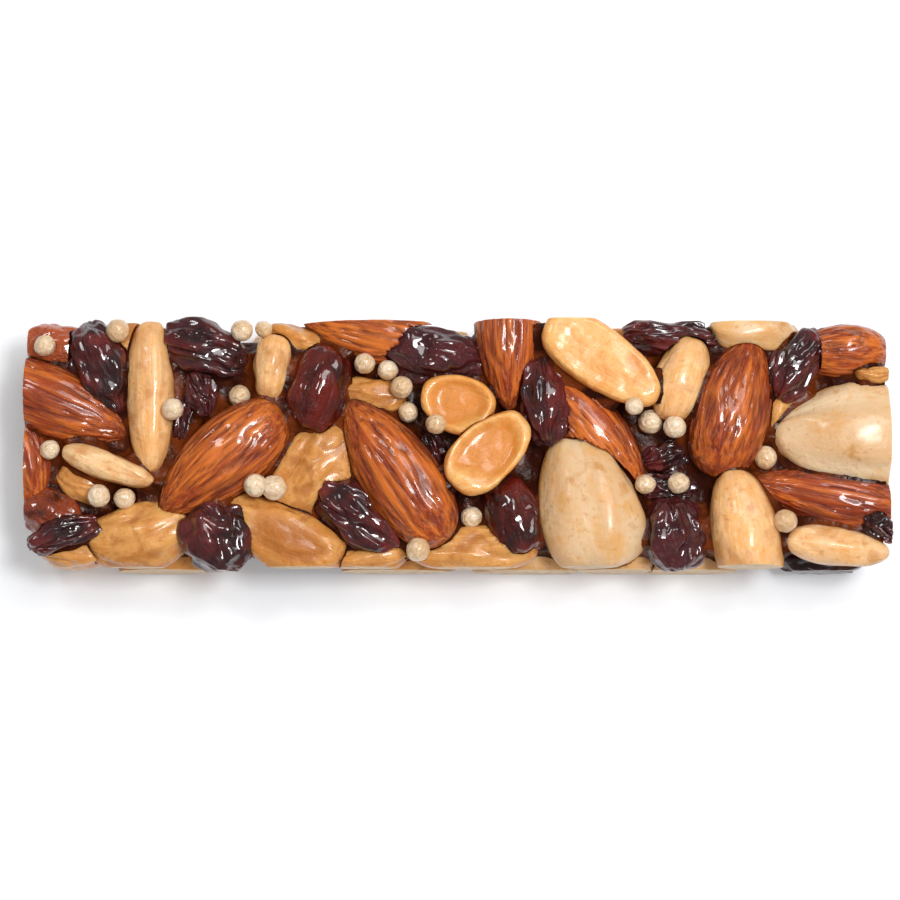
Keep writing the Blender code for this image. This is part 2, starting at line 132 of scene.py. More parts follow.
UPPER_PIECES = (
    Piece("almond_01", A, -52.5, 5.2, 14.9, 21.0, 9.8, 8.0, -22, 0, 12, tone=0.45),
    Piece("almond_02", A, -57.0, -2.6, 13.6, 14.0, 9.0, 7.0, -75, tone=0.40),
    Piece("raisin_01", R, -46.5, 10.1, 14.7, 12.4, 7.9, 7.5, -68),
    Piece("red_fruit_01", F, -52.3, 13.0, 13.2, 8.6, 6.2, 6.0, -5, tone=0.95),
    Piece("peanut_01", P, -40.0, 6.2, 14.4, 20.4, 6.6, 6.2, -88),
    Piece("cashew_01", C, -43.4, 12.8, 12.6, 7.6, 5.2, 5.0, 60),
    Piece("raisin_02", R, -33.0, 12.5, 14.3, 11.6, 7.4, 7.0, -20),
    Piece("raisin_03", R, -33.4, 6.6, 13.4, 6.2, 4.2, 4.6, -72, tone=0.8),
    Piece("raisin_04", R, -36.0, 5.0, 12.0, 9.6, 3.6, 4.6, 82),
    Piece("peanut_02", P, -24.1, 10.0, 14.2, 9.0, 5.3, 5.2, -94),
    Piece("cashew_02", C, -20.9, 14.0, 12.6, 8.0, 4.2, 5.0, -22),
    Piece("almond_03", A, -30.5, -2.2, 15.4, 20.8, 10.3, 8.2, 221, 0, -8, tone=0.65),
    Piece("peanut_03", P, -45.1, -3.1, 14.6, 12.8, 4.1, 4.4, -20, tone=0.70),
    Piece("cashew_03", C, -48.8, -5.2, 12.6, 7.6, 5.2, 5.0, -30),
    Piece("red_fruit_02", F, -52.6, -9.0, 13.2, 8.0, 6.8, 6.0, -30, tone=0.75),
    Piece("raisin_05", R, -50.7, -11.9, 14.4, 9.6, 4.4, 4.6, 18),
    Piece("cashew_04", C, -49.6, -14.2, 12.2, 9.0, 3.8, 5.4, 0),
    Piece("cashew_05", C, -41.0, -11.8, 13.7, 14.6, 9.4, 7.2, 12, dish=0.10, tone=0.60),
    Piece("raisin_06", R, -31.0, -12.3, 15.0, 10.0, 9.4, 8.0, -50),
    Piece("cashew_06", C, -22.4, -11.8, 13.8, 16.6, 8.6, 6.8, -26, dish=0.80, tone=0.55),
    Piece("cashew_07", C, -18.6, -3.0, 13.2, 14.8, 10.4, 6.6, 58, dish=0.15, tone=0.55),
    Piece("red_fruit_03", F, -18.0, 7.2, 14.8, 11.6, 7.9, 7.0, 75, tone=0.50),
    Piece("almond_04", A, -11.0, 14.8, 13.9, 19.0, 8.2, 7.4, 168, tone=0.70),
    Piece("cashew_08", C, -11.2, 6.6, 12.4, 9.4, 5.8, 5.6, -10, dish=0.20),
    Piece("raisin_07", R, -3.4, 12.0, 14.2, 13.4, 8.2, 7.4, -10, tone=0.8),
    Piece("peanut_04", H, 0.0, 5.0, 14.4, 10.2, 8.0, 5.6, 160, dish=0.85, tone=0.45),
    Piece("raisin_08", R, -2.8, -0.8, 11.8, 5.2, 3.4, 4.4, -60),
    Piece("almond_05", A, -7.9, -3.7, 15.6, 22.6, 10.5, 8.4, 124, 0, -10, tone=0.60),
    Piece("raisin_09", R, -13.0, -9.5, 14.0, 13.2, 7.6, 6.8, -38),
    Piece("cashew_09", C, -11.0, -14.7, 12.0, 10.0, 4.0, 5.4, 6),
    Piece("almond_06", A, 6.7, 14.4, 14.6, 20.0, 9.0, 7.8, -89),
    Piece("raisin_10", R, 11.3, 5.6, 14.8, 12.2, 7.0, 6.8, 96),
    Piece("peanut_05", H, 4.1, -1.3, 14.7, 13.2, 8.4, 5.4, 42, dish=0.85, tone=0.60),
    Piece("red_fruit_04", F, 7.4, -9.4, 13.4, 10.4, 7.4, 6.4, -72, tone=0.45),
    Piece("cashew_10", C, 2.0, -13.4, 12.4, 18.0, 6.8, 6.4, 2, dish=0.10, tone=0.55),
    Piece("peanut_06", H, 18.8, 10.7, 15.4, 18.2, 8.5, 6.6, -35, dish=0.16, tone=0.75),
    Piece("almond_07", A, 17.8, 1.7, 13.8, 19.4, 8.8, 7.4, -50, tone=0.55),
    Piece("brazil_nut_01", B, 17.1, -7.4, 15.2, 19.8, 13.8, 9.2, 102, tone=0.60),
    Piece("raisin_11", R, 28.5, 14.2, 12.8, 13.2, 4.8, 5.4, -3),
    Piece("peanut_07", P, 29.3, 8.6, 14.7, 11.8, 7.2, 6.6, 70),
    Piece("raisin_12", R, 27.3, -1.4, 11.8, 6.4, 5.0, 5.2, 20),
    Piece("raisin_13", R, 27.6, -5.6, 11.4, 7.6, 4.6, 4.6, 0),
    Piece("raisin_14", R, 28.2, -11.7, 14.3, 9.6, 8.6, 7.8, 100, tone=0.8),
    Piece("peanut_08", P, 37.3, -11.8, 15.4, 17.6, 9.4, 8.6, 100),
    Piece("brazil_nut_02", B, 39.0, 15.2, 13.6, 13.0, 7.4, 7.0, -10),
    Piece("almond_08", A, 36.0, 5.0, 15.2, 19.4, 10.4, 8.6, 74, 0, 8, tone=0.45),
    Piece("raisin_15", R, 44.3, 10.4, 14.7, 10.4, 6.2, 6.2, 58),
    Piece("almond_09", A, 50.0, 12.3, 14.0, 13.4, 7.4, 7.6, 180),
    Piece("cashew_11", C, 54.2, 9.0, 14.05, 5.2, 2.6, 4.0, 0),
    Piece("brazil_nut_03", B, 50.6, 1.4, 15.0, 19.2, 14.0, 9.0, 180, tone=0.80),
    Piece("almond_10", A, 49.2, -7.0, 13.3, 22.4, 8.2, 7.4, 168, tone=0.30),
    Piece("peanut_09", P, 49.2, -13.3, 13.9, 13.8, 5.6, 5.8, -8, dish=0.15, tone=0.65),
    Piece("raisin_16", R, 54.7, -11.0, 14.1, 4.8, 3.2, 3.8, -40),
    Piece("cashew_12", C, 42.0, 4.6, 12.2, 8.0, 5.0, 5.4, 70),
)

PUFFS = (
    Puff(-53.4, 12.5, 1.55), Puff(-44.1, 14.6, 1.70), Puff(-36.7, 4.2, 1.60),
    Puff(-28.6, 7.0, 1.60), Puff(-28.0, 14.7, 1.60), Puff(-25.2, 15.0, 1.30),
    Puff(-52.7, -0.9, 1.45), Puff(-46.2, -7.0, 1.65), Puff(-43.0, -7.2, 1.55),
    Puff(-26.0, -5.7, 1.65), Puff(-23.6, -5.9, 1.80), Puff(-12.0, 10.4, 1.55),
    Puff(-9.0, 9.6, 1.50), Puff(-7.2, 7.3, 1.65), Puff(-6.0, 4.0, 1.50),
    Puff(-2.7, 2.1, 1.50), Puff(-5.0, -14.0, 1.70), Puff(1.85, -9.0, 1.55),
    Puff(22.8, 4.4, 1.35), Puff(24.9, 2.8, 1.75), Puff(28.2, 2.0, 1.65),
    Puff(24.4, -5.3, 1.50), Puff(28.7, -5.2, 1.60), Puff(40.6, -1.8, 1.70),
    Puff(42.2, -10.3, 1.70),
)


class Value:
    """A node's output socket that takes part in Python arithmetic by adding Math nodes to its tree."""

    def __init__(self, tree: "Tree", socket: bpy.types.NodeSocket) -> None:
        """Wraps a socket of a tree."""
        self.tree = tree
        self.socket = socket

    def _math(self, operation: str, first: "Value | float", second: "Value | float") -> "Value":
        """A Math node on two values."""
        return self.tree.value("ShaderNodeMath", {"operation": operation}, {0: first, 1: second})

    def __add__(self, other: "Value | float") -> "Value":
        """The sum."""
        return self._math("ADD", self, other)

    def __radd__(self, other: float) -> "Value":
        """The sum with a number first."""
        return self._math("ADD", other, self)

    def __sub__(self, other: "Value | float") -> "Value":
        """The difference."""
        return self._math("SUBTRACT", self, other)

    def __rsub__(self, other: float) -> "Value":
        """The difference with a number first."""
        return self._math("SUBTRACT", other, self)

    def __mul__(self, other: "Value | float") -> "Value":
        """The product."""
        return self._math("MULTIPLY", self, other)

    def __rmul__(self, other: float) -> "Value":
        """The product with a number first."""
        return self._math("MULTIPLY", other, self)

    def __abs__(self) -> "Value":
        """The absolute value."""
        return self._math("ABSOLUTE", self, 0.0)

    def at_most(self, other: "Value | float") -> "Value":
        """The smaller of the two."""
        return self._math("MINIMUM", self, other)

    def step(self, low: float, high: float) -> "Value":
        """Rises smoothly from 0 at low to 1 at high.

        Args:
            low: Where the step starts.
            high: Where the step ends; below low for a falling step.

        Returns:
            The step's value.
        """
        start, end = sorted((low, high))
        risen = self.tree.value(
            "ShaderNodeMapRange",
            {"interpolation_type": "SMOOTHSTEP"},
            {"Value": self, "From Min": start, "From Max": end},
        )
        return risen if low <= high else 1.0 - risen


class Tree:
    """A node tree under construction."""

    def __init__(self, nodes: bpy.types.NodeTree) -> None:
        """Starts on an empty or default node tree."""
        self.nodes = nodes

    def node(
        self,
        kind: str,
        settings: dict[str, object] | None = None,
        values: dict[str | int, object] | None = None,
    ) -> bpy.types.Node:
        """Adds a node, sets it up and feeds its sockets.

        Args:
            kind: The node's type name.
            settings: The node's own properties, set before its sockets.
            values: For each input socket, by name or place, a Value to link or a constant.

        Returns:
            The new node.
        """
        made = self.nodes.nodes.new(kind)
        for key, setting in (settings or {}).items():
            setattr(made, key, setting)
        for key, value in (values or {}).items():
            socket = made.inputs[key]
            if isinstance(value, Value):
                self.nodes.links.new(value.socket, socket)
            else:
                socket.default_value = value
        return made

    def value(
        self,
        kind: str,
        settings: dict[str, object] | None = None,
        values: dict[str | int, object] | None = None,
        output: str | int = 0,
    ) -> Value:
        """Adds a node as node() does, and returns one of its outputs."""
        return Value(self, self.node(kind, settings, values).outputs[output])


@dataclass(frozen=True)
class Noise:
    """A noise: features per unit, octaves, how far it is distorted, and a factor along each axis."""

    scale: float
    detail: float = 4.0
    distortion: float = 0.0
    factors: Color | None = None


class Shader(Tree):
    """The tree of a material, with the patterns that the finishes share."""

    def __init__(self, name: str) -> None:
        """Makes a new material with an empty Principled shader."""
        self.material = bpy.data.materials.new(name)
        self.material.use_nodes = True
        super().__init__(self.material.node_tree)
        self.principled = self.nodes.nodes["Principled BSDF"]

    def attribute(self, name: str, output: str = "Fac") -> Value:
        """An attribute that the piece's mesh carries."""
        return self.value("ShaderNodeAttribute", {"attribute_name": name}, output=output)

    def place(self) -> Value:
        """The point's place in the bar, in metres."""
        return self.value("ShaderNodeTexCoord", output="Object")

    def within(self, axis: str) -> Value:
        """Where on its piece a point lies along one of its axes, from -1 to 1; the tip is at +X."""
        return self.value("ShaderNodeSeparateXYZ", None, {0: self.attribute("unit", "Vector")}, axis)

    def grain(self, vector: Value, noise: Noise) -> Value:
        """Noise from 0 to 1 over a vector.

        Args:
            vector: Where the noise is read.
            noise: The noise.

        Returns:
            The noise's value.
        """
        if noise.factors:
            both = {0: vector, 1: noise.factors}
            vector = self.value("ShaderNodeVectorMath", {"operation": "MULTIPLY"}, both)
        values = {
            "Vector": vector,
            "Scale": noise.scale,
            "Detail": noise.detail,
            "Distortion": noise.distortion,
        }
        return self.value("ShaderNodeTexNoise", None, values, "Fac")

    def mixed(self, share: Value, first: Value | Color, second: Value | Color) -> Value:
        """A colour between two others.

        Args:
            share: How much of the second colour there is, from 0 to 1.
            first: The colour at 0.
            second: The colour at 1.

        Returns:
            The mixed colour.
        """
        made = self.node("ShaderNodeMix", {"data_type": "RGBA"}, {0: share})
        for place, color in ((6, first), (7, second)):
            if isinstance(color, Value):
                self.nodes.links.new(color.socket, made.inputs[place])
            else:
                made.inputs[place].default_value = (*color, 1.0)
        return Value(self, made.outputs[2])

    def bump(self, height: Value, depth: float, strength: float = 0.8) -> Value:
        """A normal from a height that spans a depth in millimetres."""
        values = {"Height": height, "Distance": depth * MM, "Strength": strength}
        return self.value("ShaderNodeBump", None, values, "Normal")

    def finish(self, constants: dict[str, object], varying: dict[str, Value]) -> bpy.types.Material:
        """Sets the shader's sockets and returns the material.

        Args:
            constants: Values that are the same all over the surface, by socket name.
            varying: Values that change over the surface, by socket name.

        Returns:
            The finished material.
        """
        for name, constant in constants.items():
            self.principled.inputs[name].default_value = constant
        for name, value in varying.items():
            self.nodes.links.new(value.socket, self.principled.inputs[name])
        return self.material


@dataclass(frozen=True)
class Spread:
    """Light below a surface: its share, its reach for each colour, and its scale in millimetres."""

    share: float
    reach: Color
    scale: float

    def constants(self) -> dict[str, object]:
        """The constant sockets of the light below the surface."""
        return {
            "Subsurface Weight": self.share,
            "Subsurface Radius": self.reach,
            "Subsurface Scale": self.scale * MM,
        }


@dataclass(frozen=True)
class Glaze:
    """The thin coat of syrup on everything: how much of it there is, and how it blurs and bends light."""

    weight: float
    roughness: float
    ior: float = 1.48
    thinnest: float = 0.4
    pattern: Noise = Noise(420.0, 3.0, 0.6)
    patch_edge: Range = (0.30, 0.58)

    def constants(self) -> dict[str, object]:
        """The coat's constant sockets."""
        return {"Coat Roughness": self.roughness, "Coat IOR": self.ior}

    def patches(self, shader: Shader, place: Value) -> Value:
        """The coat's weight, thinner in patches.

        Args:
            shader: The material it is added to.
            place: The point's place in the bar.

        Returns:
            The weight over the surface.
        """
        patches = shader.grain(place, self.pattern).step(*self.patch_edge)
        return (patches * (1.0 - self.thinnest) + self.thinnest) * self.weight


@dataclass(frozen=True)
class AlmondSkin:
    """Brown skin with wavy lengthwise grooves, lighter on the ribs; the dark in the grooves is partly the
    skin's own colour and partly painted shade, and painted shade darkens its lower side.
    """

    rib: Color = (0.66, 0.165, 0.022)
    skin: Color = (0.33, 0.048, 0.010)
    # Dark skin colour, used for the skin's own lines and also as painted shade in the grooves and on the
    # lower side.
    groove: Color = (0.11, 0.015, 0.007)
    fleck: Color = (0.74, 0.30, 0.12)
    rib_edge: Range = (0.38, 0.63)
    line_width: float = 0.10
    line_part: Range = (0.68, 0.42)
    fleck_edge: Range = (0.70, 0.76)
    # How far down the lower side's painted shade reaches.
    low_part: Range = (0.55, -0.2)
    tip_part: Range = (0.72, 1.0)
    darkest: float = 0.88
    streaks: Noise = Noise(1.0, 5.0, 1.1, (0.9, 2.6, 2.6))
    fibres: Noise = Noise(1.0, 3.0, 0.3, (2.2, 22.0, 22.0))
    lines: Noise = Noise(1.0, 1.0, 0.9, (0.7, 5.4, 5.4))
    flecks: Noise = Noise(2600.0, 2.0)
    pores: Noise = Noise(1500.0, 5.0)
    bumps: float = 0.22
    specular: float = 0.25
    spread: Spread = Spread(0.08, (1.0, 0.35, 0.15), 0.8)
    glaze: Glaze = Glaze(0.9, 0.09)

    def material(self) -> bpy.types.Material:
        """Builds the skin's material."""
        shader = Shader("almond_skin")
        place = shader.place()
        along = shader.attribute("grain", "Vector")
        depth = shader.attribute("groove")
        tone = shader.attribute("tone") - EVEN_TONE
        streaks = shader.grain(along, self.streaks)
        fibres = shader.grain(along, self.fibres)
        ribs = (streaks * 0.7 + fibres * 0.3 + tone * 0.3).step(*self.rib_edge)
        color = shader.mixed(ribs, self.skin, self.rib)
        off_line = abs(shader.grain(along, self.lines) * 2.0 - 1.0).step(0.0, self.line_width)
        lines = (1.0 - off_line) * streaks.step(*self.line_part)
        # Painted shade: darker towards the piece's lower side.
        low = shader.within("Z").step(*self.low_part)
        tip = shader.within("X").step(*self.tip_part)
        # Mixes in the groove colour: the skin's own dark lines, the grooves (partly own colour, partly
        # painted shade), painted shade on the lower side, and darker towards the tip.
        dark = (depth * 0.65 + lines * 0.4 + low * 0.6 + tip * 0.3).at_most(self.darkest)
        color = shader.mixed(dark, color, self.groove)
        flecks = shader.grain(place, self.flecks).step(*self.fleck_edge)
        color = shader.mixed(flecks * 0.55, color, self.fleck)
        height = fibres * 0.35 + shader.grain(place, self.pores) * 0.6 - lines * 0.35
        constants = {"Specular IOR Level": self.specular, **self.spread.constants(), **self.glaze.constants()}
        varying = {
            "Base Color": color,
            "Roughness": 0.34 + depth * 0.2 + flecks * 0.2,
            "Coat Weight": self.glaze.patches(shader, place),
            "Normal": shader.bump(height, self.bumps),
        }
        return shader.finish(constants, varying)


@dataclass(frozen=True)
class NutSkin:
    """A blanched, roasted nut: a pale body with roast-browned patches, and the same brown laid on as painted
    shade in its hollow and towards its lower side.
    """

    name: str
    pale: Color
    body: Color
    # Brown of the roasted patches, also laid on as painted shade in the hollow and towards the lower side.
    toast: Color
    toast_from: float
    bumps: float = 0.40
    edged: float = 0.2
    toast_rise: float = 0.16
    pale_edge: Range = (0.42, 0.58)
    spot_edge: Range = (0.58, 0.70)
    # How far down the lower side's painted shade reaches.
    low_part: Range = (0.62, -0.15)
    darkest: float = 0.85
    broad: Noise = Noise(230.0, 3.0, 0.5)
    clouds: Noise = Noise(620.0, 4.0, 0.4)
    fibres: Noise = Noise(1.0, 4.0, 0.4, (1.6, 9.0, 9.0))
    spots: Noise = Noise(1500.0)
    pores: Noise = Noise(900.0, 6.0)
    specular: float = 0.25
    spread: Spread = Spread(0.40, (1.0, 0.50, 0.20), 2.0)
    glaze: Glaze = Glaze(0.75, 0.14)

    def material(self) -> bpy.types.Material:
        """Builds the nut's material."""
        shader = Shader(self.name)
        place = shader.place()
        tone = shader.attribute("tone") - EVEN_TONE
        broad = shader.grain(place, self.broad)
        cloudy = shader.grain(place, self.clouds)
        fibres = shader.grain(shader.attribute("grain", "Vector"), self.fibres)
        light = (broad * 0.5 + cloudy * 0.3 + fibres * 0.2 + tone * 0.3).step(*self.pale_edge)
        color = shader.mixed(light, self.body, self.pale)
        toast_and_shade_mix = broad * 0.7 + cloudy * 0.3 - tone * 0.2
        toast_and_shade_mix = toast_and_shade_mix.step(self.toast_from, self.toast_from + self.toast_rise)
        # Painted shade: the nut browns towards its lower side.
        low = shader.within("Z").step(*self.low_part)
        edge = shader.attribute("groove") * self.edged
        # Painted shade in the hollow and on the lower side is added to the roasted patches and to a darker
        # line along the groove marks.
        toast_and_shade_mix = toast_and_shade_mix * 0.6 + edge + shader.attribute("hollow") * 0.95 + low * 0.75
        color = shader.mixed(toast_and_shade_mix.at_most(self.darkest), color, self.toast)
        spots = shader.grain(place, self.spots).step(*self.spot_edge)
        color = shader.mixed(spots * 0.45, color, self.toast)
        height = fibres * 0.35 + shader.grain(place, self.pores) * 0.8
        constants = {"Specular IOR Level": self.specular, **self.spread.constants(), **self.glaze.constants()}
        varying = {
            "Base Color": color,
            "Roughness": 0.26 + cloudy * 0.2,
            "Coat Weight": self.glaze.patches(shader, place),
            "Normal": shader.bump(height, self.bumps),
        }
        return shader.finish(constants, varying)


@dataclass(frozen=True)
class FruitSkin:
    """Dried fruit: dark and glassy, redder where it is thin, with fine folds between the coarse ones and
    painted shade in the coarse folds' grooves.
    """

    name: str
    dark: Color
    red: Color
    bright: Color
    red_from: float
    translucent: float
    red_rise: float = 0.25
    bright_tone: Range = (0.55, 1.0)
    crinkled_tone: Range = (0.6, 0.8)
    crinkled_part: Range = (0.46, 0.60)
    broad: Noise = Noise(260.0, 3.0, 0.4)
    folds: Noise = Noise(1.0, 1.0, 0.8, (1.4, 3.4, 3.4))
    crinkles: Noise = Noise(240.0, 1.0)
    fine: Noise = Noise(1150.0, 2.0, 0.8)
    dull: Noise = Noise(500.0, 3.0)
    bumps: float = 0.30
    specular: float = 0.15
    glaze: Glaze = Glaze(1.0, 0.07, 1.72)

    def material(self) -> bpy.types.Material:
        """Builds the fruit's material."""
        shader = Shader(self.name)
        place = shader.place()
        tone = shader.attribute("tone")
        thin = shader.grain(place, self.broad) * 0.75 + tone * 0.25
        thin = thin.step(self.red_from, self.red_from + self.red_rise)
        # Painted shade: the red gives way to the dark colour in the grooves of the coarse folds.
        color = shader.mixed(thin * (1.0 - shader.attribute("groove") * 0.6), self.dark, self.red)
        color = shader.mixed(tone.step(*self.bright_tone) * thin, color, self.bright)
        folds = shader.grain(shader.attribute("grain", "Vector"), self.folds)
        crinkled = shader.grain(place, self.crinkles).step(*self.crinkled_part)
        crinkled = (crinkled + tone.step(*self.crinkled_tone)).at_most(1.0)
        fine = abs(shader.grain(place, self.fine) * 2.0 - 1.0) * (crinkled * 1.6 + 0.25)
        constants = {
            "Specular IOR Level": self.specular,
            **Spread(self.translucent, (1.0, 0.18, 0.10), 2.2).constants(),
            **self.glaze.constants(),
        }
        varying = {
            "Base Color": color,
            "Roughness": 0.24 + shader.grain(place, self.dull) * 0.25,
            "Coat Weight": self.glaze.patches(shader, place),
            "Normal": shader.bump(abs(folds * 2.0 - 1.0) + fine, self.bumps),
        }
        return shader.finish(constants, varying)


@dataclass(frozen=True)
class CutFlesh:
    """The inside of a nut or fruit where the knife went through it."""

    name: str
    flesh: Color
    shade: Color
    crumb: Noise = Noise(900.0, 6.0, 0.3)
    crumb_edge: Range = (0.25, 0.75)
    pores: Noise = Noise(2300.0, 5.0, 0.3)
    bumps: float = 0.4
    spread: Spread = Spread(0.2, (1.0, 0.6, 0.35), 1.0)

    def material(self) -> bpy.types.Material:
        """Builds the cut face's material."""
        shader = Shader(self.name)
        place = shader.place()
        crumb = shader.grain(place, self.crumb)
        varying = {
            "Base Color": shader.mixed(crumb.step(*self.crumb_edge), self.shade, self.flesh),
            "Roughness": 0.5 + crumb * 0.2,
            "Normal": shader.bump(shader.grain(place, self.pores), self.bumps, strength=0.9),
        }
        coat = {"Coat Weight": 0.15, "Coat Roughness": 0.25}
        return shader.finish({**self.spread.constants(), **coat}, varying)


@dataclass(frozen=True)
class PuffCrust:
    """Crisp rice: a pearly, pitted ball."""

    pale: Color = (0.86, 0.68, 0.48)
    cream: Color = (0.68, 0.44, 0.23)
    pale_edge: Range = (0.40, 0.60)
    cells: Noise = Noise(1500.0, 4.0, 0.4)
    broad: Noise = Noise(170.0, 2.0)
    bumps: float = 0.5
    spread: Spread = Spread(0.4, (1.0, 0.75, 0.5), 1.2)
    glaze: Glaze = Glaze(0.9, 0.12)

    def material(self) -> bpy.types.Material:
        """Builds the puffs' material."""
        shader = Shader("puff_crust")
        place = shader.place()
        cells = shader.grain(place, self.cells)
        light = (cells * 0.35 + shader.grain(place, self.broad) * 0.65).step(*self.pale_edge)
        varying = {
            "Base Color": shader.mixed(light, self.cream, self.pale),
            "Roughness": 0.30 + cells * 0.3,
            "Coat Weight": self.glaze.patches(shader, place),
            "Normal": shader.bump(cells, self.bumps, strength=0.9),
        }
        return shader.finish({**self.spread.constants(), **self.glaze.constants()}, varying)


@dataclass(frozen=True)
class Syrup:
    """The set syrup in the gaps: dark amber with a wet shine, its darkness partly the syrup's own colour and
    partly painted shade of the gaps.
    """

    # Both colours are partly the set syrup's own and partly painted shade of the deep gaps between the
    # pieces.
    amber: Color = (0.15, 0.028, 0.004)
    dark: Color = (0.030, 0.005, 0.002)
    amber_edge: Range = (0.40, 0.66)
    broad: Noise = Noise(240.0, 4.0, 0.5)
    waves: Noise = Noise(520.0, 3.0, 0.4)
    bumps: float = 0.7
    spread: Spread = Spread(0.3, (1.0, 0.4, 0.15), 1.5)

    def material(self) -> bpy.types.Material:
        """Builds the syrup's material."""
        shader = Shader("syrup")
        place = shader.place()
        broad = shader.grain(place, self.broad)
        varying = {
            "Base Color": shader.mixed(broad.step(*self.amber_edge), self.dark, self.amber),
            "Roughness": 0.2 + broad * 0.1,
            "Normal": shader.bump(shader.grain(place, self.waves), self.bumps),
        }
        coat = {"Specular IOR Level": 0.08, "Coat Weight": 0.12, "Coat Roughness": 0.14}
        return shader.finish({**self.spread.constants(), **coat}, varying)


@dataclass(frozen=True)
class Relief:
    """The grooves and the fine roughness of a surface, in millimetres and in features per half length."""

    groove_depth: float
    groove_width: float
    along: float
    across: float
    detail: float
    distortion: float
    fine_depth: float
    fine_scale: float
    lift: float = 0.0

    def deepest(self) -> float:
        """How far the coarse relief goes below the plain form."""
        return max(self.groove_depth, -self.lift)

    def inputs(self) -> dict[str, float]:
        """The inputs of the relief's tree, by name: each field under its own name in capitals."""
        return {name.replace("_", " ").title(): value for name, value in asdict(self).items()}


@dataclass(frozen=True)
class Form:
    """The shape of one kind of piece, from a unit ball whose poles lie along X."""

    slope: float
    tip: float
    fullness: float
    lumps: tuple[tuple[float, float, int], ...]
    relief: Relief
    bend: float = 0.0
    hollow: bool = False
    facets: tuple[int, int] = (96, 64)
    meeting: float = 1.0

    def shaped(self, unit: np.ndarray, seed: int) -> np.ndarray:
        """Turns points of the unit ball into points of this form.

        Args:
            unit: The points, one to a row.
            seed: The piece's own number, which sets its lumps.

        Returns:
            The points of the form, still about 1 in half length.
        """
        made = unit.copy()
        girth = np.hypot(unit[:, 1], unit[:, 2])
        narrowed = 1.0 - self.slope * unit[:, 0] - self.tip * np.maximum(0.0, unit[:, 0]) ** 2
        scale = np.where(girth > TINY, girth ** (1.0 / self.fullness) / np.maximum(girth, TINY), 0.0)
        made[:, 1] *= scale * narrowed
        made[:, 2] *= scale * narrowed
        made[:, 1] += self.bend * (made[:, 0] ** 2 - 0.4)
        if self.hollow:
            rim = np.minimum(1.0, np.hypot(made[:, 0], made[:, 1]))
            made[:, 2] *= np.where(made[:, 2] > 0.0, 0.45 + 0.40 * rim**3, 1.0)
        for depth, pitch, shift in self.lumps:
            made = lumpy(made, seed + shift, depth, pitch)
        return made


def lumpy(points: np.ndarray, seed: int, depth: float, pitch: float) -> np.ndarray:
    """Moves points in or out by a smooth noise, as the solids' lumps do.

    Args:
        points: The points, one to a row.
        seed: Sets where in the noise the piece is.
        depth: How far the points move, as a share of their distance from the middle.
        pitch: How close the lumps are.

    Returns:
        The moved points.
    """
    offset = Vector((seed * 3.1, seed * 1.7, seed * 2.3))
    moves = [1.0 + depth * noise.noise(Vector(point) * pitch + offset) for point in points]
    return points * np.array(moves)[:, None]


FORMS = {
    Kind.ALMOND: Form(
        slope=0.14,
        tip=0.26,
        fullness=1.12,
        lumps=((0.03, 1.2, 0),),
        relief=Relief(0.22, 0.16, 0.75, 3.2, 1.0, 1.1, 0.16, 620.0),
        meeting=0.45,
    ),
    Kind.PEANUT: Form(
        slope=0.10,
        tip=0.0,
        fullness=1.35,
        lumps=((0.05, 1.4, 0),),
        relief=Relief(0.16, 0.30, 0.8, 0.9, 0.0, 0.3, 0.30, 380.0),
    ),
    Kind.PEANUT_HALF: Form(
        slope=0.12,
        tip=0.0,
        fullness=1.25,
        lumps=((0.04, 1.4, 0),),
        relief=Relief(0.06, 0.30, 0.8, 0.9, 0.0, 0.3, 0.34, 420.0),
        hollow=True,
    ),
    Kind.CASHEW: Form(
        slope=-0.06,
        tip=0.0,
        fullness=1.3,
        lumps=((0.08, 1.5, 0),),
        relief=Relief(0.22, 0.30, 0.8, 0.9, 0.0, 0.4, 0.34, 360.0),
        bend=0.22,
    ),
    Kind.BRAZIL_NUT: Form(
        slope=0.24,
        tip=0.0,
        fullness=1.35,
        lumps=((0.05, 1.3, 0),),
        relief=Relief(-0.50, 0.42, 0.6, 0.8, 0.0, 0.3, 0.24, 320.0, -0.50),
    ),
    Kind.RAISIN: Form(
        slope=0.06,
        tip=0.0,
        fullness=1.15,
        lumps=((0.14, 1.6, 0), (0.08, 3.2, 5)),
        relief=Relief(0.62, 0.36, 0.7, 1.25, 0.6, 0.9, 0.22, 520.0, 0.25),
        facets=(132, 92),
    ),
    Kind.RED_FRUIT: Form(
        slope=0.0,
        tip=0.0,
        fullness=1.7,
        lumps=((0.12, 1.7, 0),),
        relief=Relief(0.22, 0.25, 0.8, 1.0, 0.6, 0.6, 0.24, 620.0, 0.1),
        facets=(120, 80),
    ),
}

HULL_FACETS = (36, 26)


def piece_points(piece: Piece, unit: np.ndarray, seed: int, grown: float = 0.0) -> np.ndarray:
    """Places the points of a whole piece in the bar, in metres.

    Args:
        piece: The piece.
        unit: Points of the unit ball, one to a row.
        seed: The piece's own number.
        grown: How much larger than itself it is on every side, in millimetres.

    Returns:
        The points in the bar.
    """
    half = np.array((piece.length, piece.width, piece.thick)) / 2.0 + grown
    turn = np.array(piece.turn().to_3x3())
    placed = (FORMS[piece.kind].shaped(unit, seed) * half) @ turn.T
    placed += np.array((piece.x, piece.y, piece.top + grown - placed[:, 2].max()))
    return placed * MM


@functools.cache
def first_ball(around: int, along: int) -> bpy.types.Mesh:
    """The unit ball with its poles along X that ball() copies."""
    bm = bmesh.new()
    matrix = Matrix.Rotation(math.pi / 2.0, 4, "Y")
    bmesh.ops.create_uvsphere(bm, u_segments=around, v_segments=along, radius=1.0, matrix=matrix)
    mesh = bpy.data.meshes.new("ball")
    bm.to_mesh(mesh)
    bm.free()
    return mesh


def ball(around: int, along: int) -> bpy.types.Mesh:
    """A new unit ball with its poles along X."""
    return first_ball(around, along).copy()


